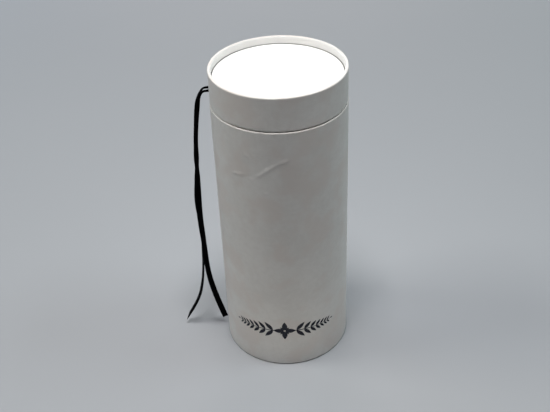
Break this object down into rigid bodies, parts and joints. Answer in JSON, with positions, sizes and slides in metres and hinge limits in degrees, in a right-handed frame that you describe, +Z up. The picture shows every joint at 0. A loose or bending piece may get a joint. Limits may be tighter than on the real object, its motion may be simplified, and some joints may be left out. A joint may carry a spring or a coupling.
{
  "type": "hat box",
  "caption": "Tall round paperboard tube box with a lift-off shoulder lid, recessed top face and a narrow ribbon hanging from the lid.",
  "frame": {"origin": "centre of the face that the tube stands on, on the tube's axis", "axes": "+Z up the tube's axis, -Y towards the printed front, -X towards the side where the ribbon hangs"},
  "size_m": [0.1734, 0.125, 0.305],
  "materials": {
    "board": "raw wound grey-brown board",
    "cover_paper": "matte off-white cover paper, faintly mottled",
    "lining_paper": "smooth uncoated white lining paper",
    "ribbon": "black woven ribbon with a fine cross rib"
  },
  "bodies": {
    "box": {"body_board_tube": "board", "body_outer_wrap": "cover_paper", "neck_tube": "board", "neck_wrap": "lining_paper", "body_liner": "lining_paper", "base_board": "board", "base_paper": "cover_paper", "base_liner_disc": "lining_paper"},
    "lid": {"lid_board_tube": "board", "lid_outer_wrap": "cover_paper", "lid_top_board": "board", "lid_top_paper": "cover_paper", "lid_liner_band": "lining_paper", "lid_liner_disc": "lining_paper", "ribbon_inner_span": "ribbon", "ribbon_strand_front": "ribbon", "ribbon_strand_back": "ribbon"}
  },
  "joints": [
    {"name": "lid_lift", "type": "slide", "parent": "box", "child": "lid", "axis": [0, 0, 1], "range_m": [0, 0.15]}
  ]
}
